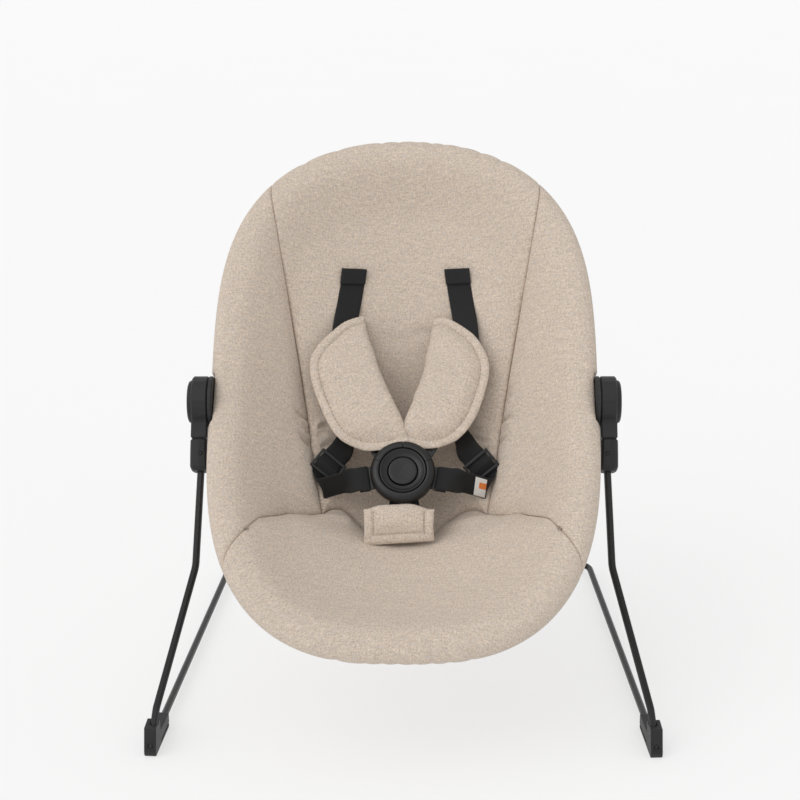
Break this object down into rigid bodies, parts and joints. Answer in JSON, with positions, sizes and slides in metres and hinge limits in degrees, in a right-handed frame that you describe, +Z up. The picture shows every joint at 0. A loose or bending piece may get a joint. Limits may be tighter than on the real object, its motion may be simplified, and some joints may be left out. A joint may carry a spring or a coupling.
{
  "type": "baby bouncer seat",
  "caption": "Infant bouncer with a padded egg-shaped sling seat on a steel ring, locking recline hubs, sprung wire legs, a wire floor base and a push-button harness.",
  "frame": {"origin": "middle of the footprint on the floor", "axes": "+X to the right of someone who faces the seat, -Y towards its front, +Z up"},
  "size_m": [0.4768, 0.5114, 0.5163],
  "materials": {
    "black_steel": "satin",
    "zinc_steel": "satin",
    "black_plastic": "satin",
    "grey_nylon": "satin",
    "rubber": "matte",
    "linen": "woven",
    "webbing": "woven",
    "label": "satin"
  },
  "bodies": {
    "base": {"base_wire": "black_steel", "left_front_foot": "black_plastic", "left_rear_pad": "rubber", "right_front_foot": "black_plastic", "right_rear_pad": "rubber"},
    "legs": {"left_leg_socket": "black_plastic", "left_socket_pin": "black_plastic", "left_leg_wire": "black_steel", "left_hub_housing": "black_plastic", "left_leg_lock_ring": "zinc_steel", "right_leg_socket": "black_plastic", "right_socket_pin": "black_plastic", "right_leg_wire": "black_steel", "right_hub_housing": "black_plastic", "right_leg_lock_ring": "zinc_steel"},
    "seat": {"left_hub_plate": "black_plastic", "left_seat_lock_ring": "zinc_steel", "left_pivot_screw": "zinc_steel", "left_lock_spring": "zinc_steel", "left_shoulder_strap": "webbing", "left_strap_stop": "black_plastic", "left_strap_tab": "webbing", "left_shoulder_pad": "linen", "left_waist_strap": "webbing", "left_strap_adjuster": "black_plastic", "left_buckle_tongue": "black_plastic", "left_wing": "linen", "right_hub_plate": "black_plastic", "right_seat_lock_ring": "zinc_steel", "right_pivot_screw": "zinc_steel", "right_lock_spring": "zinc_steel", "right_shoulder_strap": "webbing", "right_strap_stop": "black_plastic", "right_strap_tab": "webbing", "right_shoulder_pad": "linen", "right_waist_strap": "webbing", "right_strap_adjuster": "black_plastic", "right_buckle_tongue": "black_plastic", "right_wing": "linen", "upper_frame_tube": "black_steel", "lower_frame_tube": "black_steel", "centre_panel": "linen", "front_pad": "linen", "crotch_strap": "webbing", "crotch_sleeve": "linen", "buckle_back": "black_plastic", "buckle_front": "black_plastic", "buckle_spring": "zinc_steel", "strap_tag": "label"},
    "left_button": {"left_release_button": "black_plastic", "left_lock_gear": "grey_nylon"},
    "right_button": {"right_release_button": "black_plastic", "right_lock_gear": "grey_nylon"},
    "buckle_release": {"buckle_button": "black_plastic"}
  },
  "joints": [
    {"name": "bounce", "type": "hinge", "parent": "base", "child": "legs", "pos_m": [0, -0.19752, 0.00965], "axis": [-1, 0, 0], "range_deg": [-2, 5], "stiffness_Nm_per_rad": 180, "springref_deg": -1.39},
    {"name": "recline", "type": "hinge", "parent": "legs", "child": "seat", "pos_m": [0, -0.04074, 0.2925], "axis": [-1, 0, 0], "range_deg": [0, 45]},
    {"name": "left_button_push", "type": "slide", "parent": "legs", "child": "left_button", "axis": [1, 0, 0], "range_m": [0, 0.0023], "stiffness_N_per_m": 700, "springref_m": -0.001, "deforming": ["left_lock_spring"]},
    {"name": "right_button_push", "type": "slide", "parent": "legs", "child": "right_button", "axis": [-1, 0, 0], "range_m": [0, 0.0023], "stiffness_N_per_m": 700, "springref_m": -0.001, "deforming": ["right_lock_spring"]},
    {"name": "buckle_push", "type": "slide", "parent": "seat", "child": "buckle_release", "axis": [0, 0.7716, -0.6361], "range_m": [0, 0.0025], "stiffness_N_per_m": 700, "springref_m": -0.001, "deforming": ["buckle_spring"]}
  ]
}
